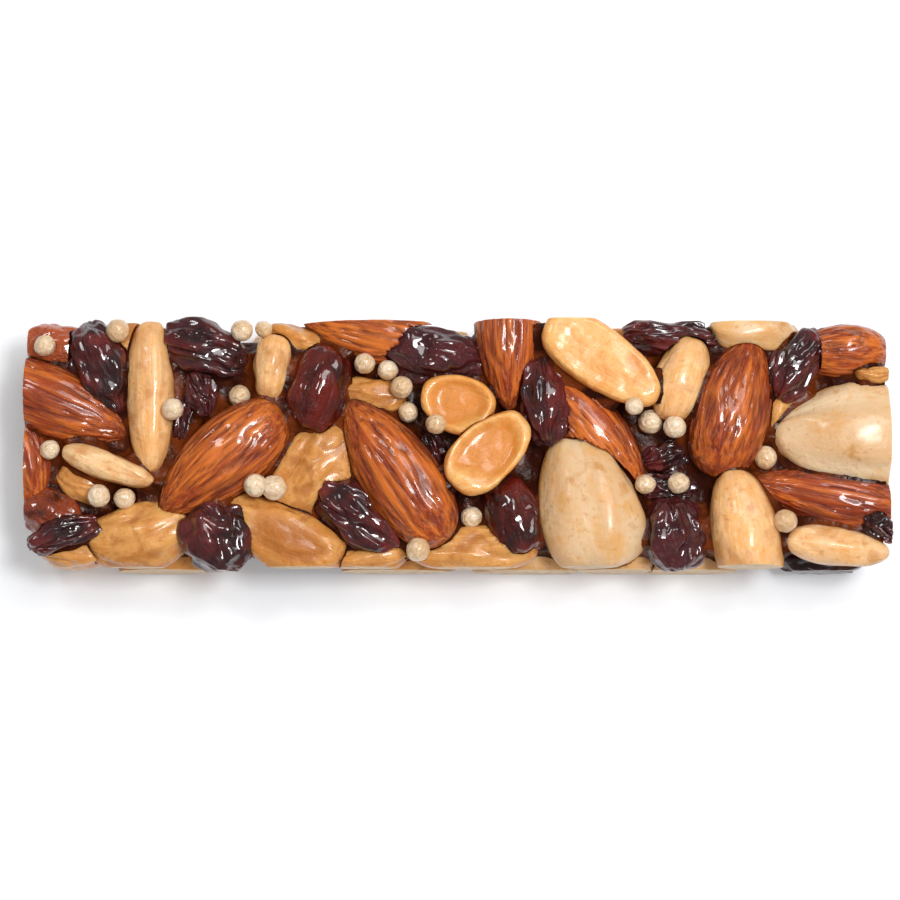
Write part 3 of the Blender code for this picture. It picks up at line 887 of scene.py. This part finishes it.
def hull(piece: Piece, seed: int, grown: float) -> bpy.types.Mesh:
    """The plain outside of a piece, grown on every side.

    Args:
        piece: The piece.
        seed: Its own number.
        grown: How much larger than itself it is, in millimetres.

    Returns:
        The closed mesh.
    """
    mesh = ball(*HULL_FACETS)
    write_points(mesh, piece_points(piece, read_points(mesh), seed, grown))
    return mesh


def read_points(mesh: bpy.types.Mesh) -> np.ndarray:
    """The mesh's points, one to a row."""
    flat = np.zeros(len(mesh.vertices) * 3)
    mesh.vertices.foreach_get("co", flat)
    return flat.reshape(-1, 3)


def corners(mesh: bpy.types.Mesh) -> tuple[np.ndarray, np.ndarray]:
    """The lowest and the highest corner of the mesh's box."""
    points = read_points(mesh)
    return points.min(axis=0), points.max(axis=0)


def write_points(mesh: bpy.types.Mesh, points: np.ndarray) -> None:
    """Moves the mesh's points to new places."""
    mesh.vertices.foreach_set("co", points.ravel())
    mesh.update()


def add_object(name: str, mesh: bpy.types.Mesh) -> bpy.types.Object:
    """Adds an object at the origin for a mesh."""
    made = bpy.data.objects.new(name, mesh)
    bpy.context.scene.collection.objects.link(made)
    return made


def result_of(source: bpy.types.Object) -> bpy.types.Mesh:
    """The mesh that an object's modifiers make; the modifiers are removed from it."""
    graph = bpy.context.evaluated_depsgraph_get()
    mesh = bpy.data.meshes.new_from_object(source.evaluated_get(graph))
    source.modifiers.clear()
    return mesh


class GeometryTree(Tree):
    """A Geometry Nodes tree with named inputs, and the modifier that runs it."""

    def __init__(self, name: str) -> None:
        """Makes a tree with a geometry input and output."""
        group = bpy.data.node_groups.new(name, "GeometryNodeTree")
        super().__init__(group)
        group.interface.new_socket("Geometry", in_out="INPUT", socket_type="NodeSocketGeometry")
        group.interface.new_socket("Geometry", in_out="OUTPUT", socket_type="NodeSocketGeometry")
        self.entry = group.nodes.new("NodeGroupInput")
        self.exit = group.nodes.new("NodeGroupOutput")
        self.identifiers: dict[str, str] = {}

    def input(self, name: str, kind: str = "NodeSocketFloat") -> Value:
        """Adds a named input to the tree."""
        socket = self.nodes.interface.new_socket(name, in_out="INPUT", socket_type=kind)
        self.identifiers[name] = socket.identifier
        return Value(self, self.entry.outputs[name])

    def geometry(self) -> Value:
        """The geometry that comes in."""
        return Value(self, self.entry.outputs["Geometry"])

    def named(self, name: str, data_type: str) -> Value:
        """An attribute of the geometry."""
        kind = "GeometryNodeInputNamedAttribute"
        return self.value(kind, {"data_type": data_type}, {"Name": name}, "Attribute")

    def marked(self, geometry: Value, name: str, value: Value) -> Value:
        """The geometry with a value kept on its points under a name."""
        settings = {"data_type": "FLOAT", "domain": "POINT"}
        values = {"Geometry": geometry, "Name": name, "Value": value}
        return self.value("GeometryNodeStoreNamedAttribute", settings, values)

    def sunk(self, geometry: Value, depth: Value) -> Value:
        """The geometry with its points moved in along their normals, by a depth in millimetres."""
        values = {0: self.value("GeometryNodeInputNormal"), "Scale": depth * -MM}
        offset = self.value("ShaderNodeVectorMath", {"operation": "SCALE"}, values)
        return self.value("GeometryNodeSetPosition", None, {"Geometry": geometry, "Offset": offset})

    def close(self, geometry: Value, material: Value) -> None:
        """Ends the tree in Realize Instances and Set Material.

        Args:
            geometry: What the tree made.
            material: The material that it gets.
        """
        real = self.value("GeometryNodeRealizeInstances", None, {"Geometry": geometry})
        dressed = self.value("GeometryNodeSetMaterial", None, {"Geometry": real, "Material": material})
        self.nodes.links.new(dressed.socket, self.exit.inputs["Geometry"])

    def run(self, source: bpy.types.Object, values: dict[str, object]) -> bpy.types.Mesh:
        """Runs the tree on an object and returns the plain mesh that comes out.

        Args:
            source: The object that holds the geometry going in.
            values: The inputs, by name.

        Returns:
            The new mesh.
        """
        modifier = source.modifiers.new(self.nodes.name, "NODES")
        modifier.node_group = self.nodes
        for name, value in values.items():
            modifier[self.identifiers[name]] = value
        return result_of(source)


class SkinTree(GeometryTree):
    """Presses grooves and a fine roughness into a piece, and marks the grooves for its finish."""

    fine_detail = 1.5
    groove_fade = 0.75
    hollow_width = 1.25
    hollow_waver = 1.2
    hollow_rise = 0.75
    upper_side = 0.3

    def __init__(self) -> None:
        """Builds the tree."""
        super().__init__("skin_relief")
        depth = self.input("Groove Depth")
        width = self.input("Groove Width")
        along = self.input("Along")
        across = self.input("Across")
        fine_depth = self.input("Fine Depth")
        fine_scale = self.input("Fine Scale")
        detail = self.input("Detail")
        distortion = self.input("Distortion")
        lift = self.input("Lift")
        dish = self.input("Dish Depth")
        seed = self.input("Seed")
        material = self.input("Material", "NodeSocketMaterial")
        factors = self.value("ShaderNodeCombineXYZ", None, {0: along, 1: across, 2: across})
        grain = self.named("grain", "FLOAT_VECTOR")
        stretched = self.value("ShaderNodeVectorMath", {"operation": "MULTIPLY"}, {0: grain, 1: factors})
        values = {"Vector": stretched, "W": seed, "Scale": 1.0, "Detail": detail, "Distortion": distortion}
        waves = self.noise(values)
        flank = self.value(
            "ShaderNodeMapRange",
            {"interpolation_type": "SMOOTHSTEP"},
            {"Value": abs(waves * 2.0 - 1.0), "From Min": 0.0, "From Max": width},
        )
        position = self.value("GeometryNodeInputPosition")
        fine = self.noise({"Vector": position, "W": seed, "Scale": fine_scale, "Detail": self.fine_detail})
        apart = self.node("ShaderNodeSeparateXYZ", None, {0: self.named("unit", "FLOAT_VECTOR")})
        x, y, z = (Value(self, output) for output in apart.outputs)
        endwise = x * x
        rim = endwise + y * y
        groove = (1.0 - flank) * (1.0 - endwise * endwise * self.groove_fade)
        basin = 1.0 - rim * self.hollow_width + (waves - 0.5) * self.hollow_waver
        hollow = basin.step(0.0, self.hollow_rise) * z.step(0.0, self.upper_side)
        # The groove mark darkens the grooves in the finishes, partly as painted shade, and the hollow mark
        # lays painted shade in the nuts' dish.
        marked = self.marked(self.geometry(), "groove", groove)
        marked = self.marked(marked, "hollow", hollow * dish)
        self.close(self.sunk(marked, groove * depth + fine * fine_depth + hollow * dish - lift), material)

    def noise(self, values: dict[str | int, object]) -> Value:
        """A noise that a seed can change."""
        return self.value("ShaderNodeTexNoise", {"noise_dimensions": "4D"}, values)


class PuffTree(GeometryTree):
    """Sets a pitted ball on every point, as wide as the point's radius."""

    def __init__(self) -> None:
        """Builds the tree."""
        super().__init__("crisp_puffs")
        pit_depth = self.input("Pit Depth")
        pit_scale = self.input("Pit Scale")
        squash = self.input("Squash")
        seed = self.input("Seed", "NodeSocketInt")
        material = self.input("Material", "NodeSocketMaterial")
        radius = self.named("radius", "FLOAT")
        one = self.value("GeometryNodeMeshIcoSphere", None, {"Radius": 1.0, "Subdivisions": 5})
        turn = self.value(
            "FunctionNodeRandomValue",
            {"data_type": "FLOAT_VECTOR"},
            {0: (0.0, 0.0, 0.0), 1: (math.tau, math.tau, math.tau), "Seed": seed},
        )
        wide = self.value("ShaderNodeCombineXYZ", None, {0: radius, 1: radius, 2: radius * squash})
        balls = self.value(
            "GeometryNodeInstanceOnPoints",
            None,
            {"Points": self.geometry(), "Instance": one, "Rotation": turn, "Scale": wide},
        )
        real = self.value("GeometryNodeRealizeInstances", None, {"Geometry": balls})
        position = self.value("GeometryNodeInputPosition")
        values = {"Vector": position, "Scale": pit_scale, "Detail": 3.0, "Distortion": 0.3}
        pits = self.value("ShaderNodeTexNoise", None, values)
        pitted = self.sunk(real, pits * pit_depth)
        smooth = self.value("GeometryNodeSetShadeSmooth", None, {"Geometry": pitted})
        self.close(smooth, material)


@dataclass(frozen=True)
class Knife:
    """The cuts round the bar, in millimetres, and how the cut faces are dressed."""

    length: float = BAR_LENGTH
    width: float = BAR_WIDTH
    fruit_proud: float = 0.6

    def cut(self, bm: bmesh.types.BMesh, point: Vector, outward: Vector, slot: int) -> None:
        """Cuts away what lies past a plane and closes the cut.

        Args:
            bm: The mesh that is cut.
            point: A point of the plane, in metres.
            outward: The plane's normal, towards what goes.
            slot: The material slot of the new face.
        """
        if max((vertex.co - point).dot(outward) for vertex in bm.verts) <= 0.0:
            return
        geometry = bm.verts[:] + bm.edges[:] + bm.faces[:]
        bmesh.ops.bisect_plane(bm, geom=geometry, plane_co=point, plane_no=outward, clear_outer=True)
        rim = [edge for edge in bm.edges if edge.is_boundary]
        if rim:
            for face in bmesh.ops.holes_fill(bm, edges=rim, sides=0)["faces"]:
                face.material_index = slot
                face.smooth = False

    def trim(self, mesh: bpy.types.Mesh, kind: Kind, floor: float) -> None:
        """Cuts a piece where the knife cut the bar, and level at its floor.

        Args:
            mesh: The piece's mesh; slot 1 is its cut flesh.
            kind: What the piece is; raisins spring back and stand proud.
            floor: How high its flat underside is, in millimetres.
        """
        bm = bmesh.new()
        bm.from_mesh(mesh)
        proud = self.fruit_proud if kind is Kind.RAISIN else 0.0
        half_length = self.length / 2.0 * MM
        half_width = (self.width / 2.0 + proud) * MM
        slot = 0 if kind in (Kind.RAISIN, Kind.RED_FRUIT) else 1
        for sign in (-1.0, 1.0):
            self.cut(bm, Vector((sign * half_length, 0, 0)), Vector((sign, 0, 0)), slot)
            self.cut(bm, Vector((0, sign * half_width, 0)), Vector((0, sign, 0)), slot)
        self.cut(bm, Vector((0, 0, floor * MM)), Vector((0, 0, -1)), 0)
        bm.to_mesh(mesh)
        bm.free()


SKINS = {
    Kind.ALMOND: AlmondSkin(),
    Kind.PEANUT: NutSkin("peanut_skin", (0.94, 0.62, 0.33), (0.87, 0.46, 0.17), (0.60, 0.24, 0.05), 0.46),
    Kind.PEANUT_HALF: NutSkin(
        "peanut_half_skin", (0.93, 0.54, 0.20), (0.84, 0.38, 0.09), (0.66, 0.22, 0.03), 0.48
    ),
    Kind.CASHEW: NutSkin("cashew_skin", (0.80, 0.42, 0.13), (0.66, 0.27, 0.06), (0.42, 0.13, 0.018), 0.46),
    Kind.BRAZIL_NUT: NutSkin(
        "brazil_nut_skin",
        (0.82, 0.60, 0.37),
        (0.80, 0.47, 0.20),
        (0.56, 0.25, 0.06),
        0.54,
        bumps=0.28,
        edged=0.45,
        glaze=Glaze(0.6, 0.16),
    ),
    Kind.RAISIN: FruitSkin(
        "raisin_skin", (0.026, 0.006, 0.007), (0.15, 0.016, 0.015), (0.05, 0.012, 0.016), 0.38, 0.12
    ),
    Kind.RED_FRUIT: FruitSkin(
        "red_fruit_skin", (0.030, 0.004, 0.003), (0.14, 0.010, 0.005), (0.50, 0.10, 0.025), 0.34, 0.28
    ),
}


class Wardrobe:
    """The materials: a skin for each kind of piece, the cut flesh, the syrup and the puffs' crust."""

    def __init__(self) -> None:
        """Builds every material once."""
        self.skins = {kind: skin.material() for kind, skin in SKINS.items()}
        self.flesh = CutFlesh("nut_flesh", (0.84, 0.64, 0.42), (0.66, 0.42, 0.23)).material()
        self.syrup = Syrup().material()
        self.puff = PuffCrust().material()


class Press:
    """Presses the pieces together: where two meet, the one that lies higher keeps its form."""

    def __init__(self, pieces: Iterable[Piece], gap: float = 0.06, sharp: float = 60.0) -> None:
        """Makes the stamp of every piece of the upper layer.

        Args:
            pieces: The pieces, in the order of their own numbers.
            gap: How far the pieces stay apart, in millimetres.
            sharp: The angle past which an edge is crisp, in degrees.
        """
        self.gap = gap
        self.sharp = math.radians(sharp)
        self.stamps: list[tuple[Piece, bpy.types.Object]] = []
        for seed, piece in enumerate(pieces):
            self.add_stamp(piece, seed)
        self.stamps.sort(key=lambda entry: -entry[0].top)

    def add_stamp(self, piece: Piece, seed: int) -> None:
        """Makes the stamp that a piece leaves in those pressed after it.

        Args:
            piece: The piece.
            seed: Its own number.
        """
        stamp = add_object(piece.name + "_stamp", hull(piece, seed, self.gap))
        self.stamps.append((piece, stamp))

    def press(self, target: bpy.types.Object, piece: Piece) -> None:
        """Cuts the stamps of all higher pieces out of a piece.

        Args:
            target: The piece's object.
            piece: What it is; a piece that isn't of the upper layer lies below all of that.
        """
        low, high = corners(target.data)
        for other, stamp in self.stamps:
            if other is piece:
                break
            other_low, other_high = corners(stamp.data)
            if np.all(low < other_high) and np.all(other_low < high):
                cut = target.modifiers.new(other.name, "BOOLEAN")
                cut.operation = "DIFFERENCE"
                cut.solver = "MANIFOLD"
                cut.object = stamp
        target.data = result_of(target)
        target.data.set_sharp_from_angle(angle=self.sharp)

    def clear(self) -> None:
        """Takes the stamps away."""
        for _, stamp in self.stamps:
            bpy.data.objects.remove(stamp)
        self.stamps.clear()


@dataclass
class Layer:
    """One layer of nuts and fruit: its pieces, the number of the first, and the floor they end at.

    The stamps of the first layer are all made before it is; a later layer's pieces leave theirs in turn.
    """

    pieces: tuple[Piece, ...]
    first: int
    floor: float
    wardrobe: Wardrobe
    skin_tree: SkinTree
    pressing: Press
    knife: Knife = Knife()
    coarse: float = 1.0
    fewest_facets: int = 24
    tip_girth: float = 0.3
    grain_shift: float = 3.7

    def build(self) -> dict[str, bpy.types.Object]:
        """Builds every piece of the layer.

        Returns:
            The finished objects, by the piece's name.
        """
        made = {}
        for number, piece in enumerate(self.pieces):
            seed = number + self.first
            made[piece.name] = self.build_piece(piece, seed)
            self.pressing.press(made[piece.name], piece)
            if self.first:
                self.pressing.add_stamp(piece, seed)
        return made

    def build_piece(self, piece: Piece, seed: int) -> bpy.types.Object:
        """Builds one piece: its form, its relief, its cuts and its finish.

        Args:
            piece: The piece.
            seed: Its own number.

        Returns:
            The finished object.
        """
        form = FORMS[piece.kind]
        mesh = ball(*(max(self.fewest_facets, int(count * self.coarse)) for count in form.facets))
        unit = read_points(mesh)
        follow = unit.copy()
        girth = np.maximum(np.hypot(unit[:, 1], unit[:, 2]), 1e-6)[:, None]
        follow[:, 1:] *= np.minimum(1.0, girth / self.tip_girth) / girth**form.meeting
        for name, vectors in (("unit", unit), ("grain", follow + seed * self.grain_shift)):
            attribute = mesh.attributes.new(name, "FLOAT_VECTOR", "POINT")
            attribute.data.foreach_set("vector", vectors.astype(np.float32).ravel())
        tone = mesh.attributes.new("tone", "FLOAT", "POINT")
        tone.data.foreach_set("value", np.full(len(unit), piece.tone, np.float32))
        write_points(mesh, piece_points(piece, unit, seed))
        mesh.shade_smooth()
        source = add_object(piece.name + "_skin", mesh)
        material = self.wardrobe.skins[piece.kind]
        values = {**form.relief.inputs(), "Dish Depth": piece.dish, "Seed": float(seed), "Material": material}
        source.data = self.skin_tree.run(source, values)
        source.data.materials.append(self.wardrobe.flesh)
        self.knife.trim(source.data, piece.kind, self.floor)
        return source


@dataclass(frozen=True)
class LowerRule:
    """The rule that spreads the lower layer, the same as the solids' one."""

    columns: int = 8
    rows: int = 3
    length: float = 19.0
    width: float = 11.5
    thick: float = 9.0
    small: float = 0.72
    row_spread: float = 1.5
    seed: int = 11

    def pieces(self) -> tuple[Piece, ...]:
        """The nuts and fruit of the lower layer."""
        draw = random.Random(self.seed)
        kinds = (Kind.ALMOND, Kind.PEANUT, Kind.CASHEW, Kind.BRAZIL_NUT, Kind.RAISIN)
        step_x = BAR_LENGTH / self.columns
        step_y = BAR_WIDTH / self.rows
        made = []
        for row in range(self.rows):
            for column in range(self.columns):
                kind = kinds[(2 * column + 3 * row + draw.randrange(2)) % len(kinds)]
                small = self.small if kind in (Kind.RAISIN, Kind.PEANUT) else 1.0
                x = (column + 0.5) * step_x - BAR_LENGTH / 2.0 + draw.uniform(-2.0, 2.0)
                y = (row + 0.5) * step_y - BAR_WIDTH / 2.0
                y = y + (row - 1) * self.row_spread + draw.uniform(-1.2, 1.2)
                length = self.length * small * draw.uniform(0.9, 1.1)
                width = self.width * small * draw.uniform(0.9, 1.1)
                thick = self.thick * draw.uniform(0.95, 1.1)
                top = thick - draw.uniform(0.5, 1.1)
                yaw = draw.uniform(-35.0, 35.0) + 180.0 * draw.randrange(2)
                name = f"lower_{kind.value}_{row}_{column}"
                made.append(Piece(name, kind, x, y, top, length, width, thick, yaw))
        return tuple(made)


@dataclass
class Binder:
    """The syrup that binds the nuts: it fills the narrow gaps between them and stays behind the cut faces."""

    pieces: tuple[Piece, ...]
    material: bpy.types.Material
    swell: float = 0.9
    sink: float = 1.55
    voxel: float = 0.38
    core_height: float = 11.0
    core_floor: float = -4.0
    lowest: float = 0.03
    core_inset: float = 0.7
    side_inset: float = 0.35
    corner: float = 4.0
    edge: float = 1.7
    rounding: int = 5
    smoothing: float = 0.5
    smoothings: int = 18
    half_length: float = BAR_LENGTH / 2.0
    half_width: float = BAR_WIDTH / 2.0

    def build(self) -> bpy.types.Object:
        """Builds the syrup: the swollen pieces made one skin, which then sinks back between them.

        Returns:
            The finished object.
        """
        bm = self.core()
        for seed, piece in enumerate(self.pieces):
            mesh = hull(piece, seed, self.swell - FORMS[piece.kind].relief.deepest() - piece.dish)
            bm.from_mesh(mesh)
            bpy.data.meshes.remove(mesh)
        mesh = bpy.data.meshes.new("syrup")
        bm.to_mesh(mesh)
        bm.free()
        syrup = add_object("syrup", mesh)
        remesh = syrup.modifiers.new("one_skin", "REMESH")
        remesh.mode = "VOXEL"
        remesh.voxel_size = self.voxel * MM
        syrup.data = result_of(syrup)
        sink = syrup.modifiers.new("sink", "DISPLACE")
        sink.strength = -self.sink * MM
        sink.mid_level = 0.0
        soften = syrup.modifiers.new("soften", "SMOOTH")
        soften.factor = self.smoothing
        soften.iterations = self.smoothings
        syrup.data = result_of(syrup)
        write_points(syrup.data, self.held_in(read_points(syrup.data)))
        syrup.data.shade_smooth()
        syrup.data.materials.clear()
        syrup.data.materials.append(self.material)
        return syrup

    def core(self) -> bmesh.types.BMesh:
        """The slab inside the bar, with its uprights and its other edges rounded."""
        bm = bmesh.new()
        inset = self.core_inset
        height = self.core_height - self.core_floor
        size = Vector((2 * (self.half_length - inset), 2 * (self.half_width - inset), height)) * MM
        middle = Matrix.Translation((0.0, 0.0, (self.core_height + self.core_floor) / 2.0 * MM))
        bmesh.ops.create_cube(bm, size=1.0, matrix=middle @ Matrix.Diagonal(size.to_4d()))
        for upright, offset in ((True, self.corner), (False, self.edge)):
            edges = [edge for edge in bm.edges if (edge.verts[0].co.z != edge.verts[1].co.z) is upright]
            rounding = {"offset": offset * MM, "segments": self.rounding, "profile": 0.5, "affect": "EDGES"}
            bmesh.ops.bevel(bm, geom=edges, **rounding)
        return bm

    def held_in(self, points: np.ndarray) -> np.ndarray:
        """Moves points that lie past the syrup's rounded outline or floor onto it.

        Args:
            points: The points, one to a row.

        Returns:
            The moved points.
        """
        inner = (np.array((self.half_length, self.half_width)) - self.side_inset - self.corner) * MM
        flat = points[:, :2]
        past = np.maximum(np.abs(flat) - inner, 0.0)
        share = self.corner * MM / np.maximum(np.linalg.norm(past, axis=1, keepdims=True), TINY)
        points[:, :2] = np.sign(flat) * (np.minimum(np.abs(flat), inner) + past * np.minimum(share, 1.0))
        points[:, 2] = np.maximum(points[:, 2], self.lowest * MM)
        return points


@dataclass
class PuffScatter:
    """The crisp puffs that nestle between the nuts."""

    puffs: tuple[Puff, ...]
    material: bpy.types.Material
    reach: float = 0.70
    step: float = 0.1
    highest: float = 18.0
    lowest: float = 10.5
    pit_depth: float = 0.30
    pit_scale: float = 700.0
    squash: float = 0.96
    seed: int = 4

    def build(self, upper: Iterable[bpy.types.Object]) -> bpy.types.Object:
        """Builds the puffs where each comes to rest against the upper layer.

        Args:
            upper: The finished pieces of the upper layer.

        Returns:
            The finished object.
        """
        trees = []
        for piece in upper:
            bm = bmesh.new()
            bm.from_mesh(piece.data)
            trees.append(BVHTree.FromBMesh(bm))
            bm.free()
        places = [self.resting_place(puff, trees) for puff in self.puffs]
        mesh = bpy.data.meshes.new("puff_places")
        mesh.from_pydata(places, [], [])
        radius = mesh.attributes.new("radius", "FLOAT", "POINT")
        radius.data.foreach_set("value", [puff.radius * MM for puff in self.puffs])
        puffs = add_object("crisp_puffs", mesh)
        values = {
            "Pit Depth": self.pit_depth,
            "Pit Scale": self.pit_scale,
            "Squash": self.squash,
            "Seed": self.seed,
            "Material": self.material,
        }
        puffs.data = PuffTree().run(puffs, values)
        return puffs

    def resting_place(self, puff: Puff, trees: list[BVHTree]) -> Vector:
        """Where a puff dropped from above comes to rest.

        Args:
            puff: The puff.
            trees: The surfaces of the upper layer.

        Returns:
            The puff's middle, in metres.
        """
        reach = self.reach * puff.radius * MM
        middle = Vector((puff.x, puff.y, self.highest)) * MM
        while True:
            hits = (tree.find_nearest(middle) for tree in trees)
            contact, _, _, distance = min(hits, key=lambda hit: hit[3])
            if distance <= reach or middle.z < self.lowest * MM:
                break
            middle.z -= self.step * MM
        if distance > reach:
            middle += (contact - middle).normalized() * (distance - reach)
        return middle


@dataclass(frozen=True)
class Softbox:
    """A square soft light that faces the bar: its place and width in metres, and its power in watts."""

    name: str
    place: Color
    size: float
    power: float
    mirrored: bool = True

    def build(self) -> None:
        """Adds the light to the scene."""
        data = bpy.data.lights.new(self.name, "AREA")
        data.energy = self.power
        data.size = self.size
        light = bpy.data.objects.new(self.name, data)
        bpy.context.scene.collection.objects.link(light)
        light.visible_glossy = self.mirrored
        light.location = self.place
        light.rotation_euler = (-Vector(self.place)).to_track_quat("-Z", "Y").to_euler()


@dataclass(frozen=True)
class Studio:
    """The white table, the soft light and the camera of the photograph."""

    aim: Color = (-0.0009, -0.00104, 0.013)
    distance: float = 0.323
    elevation: float = 82.0
    lens: float = 100.0
    floor: Color = (0.87, 0.89, 0.92)
    floor_glow: float = 0.10
    floor_reach: float = 2.0
    nearest: float = 0.01
    sky: float = 0.19
    softboxes: tuple[Softbox, ...] = (
        Softbox("fill", (0.04, -0.28, 0.56), 0.50, 0.95, mirrored=False),
        Softbox("window", (0.16, 0.18, 0.45), 0.24, 0.85),
        Softbox("key", (0.15, 0.02, 0.45), 0.11, 1.10),
        Softbox("side", (-0.16, 0.18, 0.40), 0.08, 0.25),
    )

    def build(self) -> None:
        """Sets up the floor, the lights and the camera."""
        self.add_floor()
        self.add_sky()
        for softbox in self.softboxes:
            softbox.build()
        self.add_camera()
        bpy.context.scene.view_settings.view_transform = "Standard"

    def add_floor(self) -> None:
        """Adds the pale floor."""
        bm = bmesh.new()
        bmesh.ops.create_grid(bm, x_segments=1, y_segments=1, size=self.floor_reach)
        mesh = bpy.data.meshes.new("floor")
        bm.to_mesh(mesh)
        bm.free()
        floor = add_object("floor", mesh)
        constants = {
            "Base Color": (*self.floor, 1.0),
            "Roughness": 0.7,
            "Specular IOR Level": 0.2,
            "Emission Color": (1.0, 1.0, 1.0, 1.0),
            "Emission Strength": self.floor_glow,
        }
        floor.data.materials.append(Shader("white_table").finish(constants, {}))

    def add_sky(self) -> None:
        """Adds the even light from all sides."""
        world = bpy.data.worlds.new("soft_room")
        world.use_nodes = True
        background = world.node_tree.nodes["Background"]
        background.inputs["Color"].default_value = (1.0, 1.0, 1.0, 1.0)
        background.inputs["Strength"].default_value = self.sky
        bpy.context.scene.world = world

    def add_camera(self) -> None:
        """Adds the camera that looks down on the bar."""
        data = bpy.data.cameras.new("camera")
        data.lens = self.lens
        data.clip_start = self.nearest
        camera = bpy.data.objects.new("camera", data)
        bpy.context.scene.collection.objects.link(camera)
        rise = math.radians(self.elevation)
        camera.location = Vector(self.aim) + Vector((0.0, -math.cos(rise), math.sin(rise))) * self.distance
        camera.rotation_euler = (math.pi / 2.0 - rise, 0.0, 0.0)
        bpy.context.scene.camera = camera


def dress(piece: bpy.types.Object, node: str) -> None:
    """Sets a finished piece on the bar in place of a solid.

    Args:
        piece: The finished piece.
        node: The solid it stands for.
    """
    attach(piece, "root")
    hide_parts(node)
    LOG.info("%s stands for %s with %d faces", piece.name, node, len(piece.data.polygons))


def main() -> None:
    """Builds the bar's looks and its studio."""
    logging.basicConfig(level=logging.INFO, format="%(message)s")
    wardrobe = Wardrobe()
    skin_tree = SkinTree()
    pressing = Press(UPPER_PIECES)
    upper = Layer(UPPER_PIECES, 0, UPPER_FLOOR, wardrobe, skin_tree, pressing).build()
    for name, piece in upper.items():
        dress(piece, name)
    lower_pieces = LowerRule().pieces()
    knife = Knife(fruit_proud=0.0)
    first = len(UPPER_PIECES)
    lower = Layer(lower_pieces, first, LOWER_FLOOR, wardrobe, skin_tree, pressing, knife, coarse=0.7).build()
    pressing.clear()
    for piece in lower.values():
        dress(piece, "lower_layer")
    syrup = Binder(UPPER_PIECES + lower_pieces, wardrobe.syrup).build()
    dress(syrup, "lower_layer")
    puffs = PuffScatter(PUFFS, wardrobe.puff).build(upper.values())
    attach(puffs, "root")
    Studio().build()


if __name__ == "__main__":
    main()
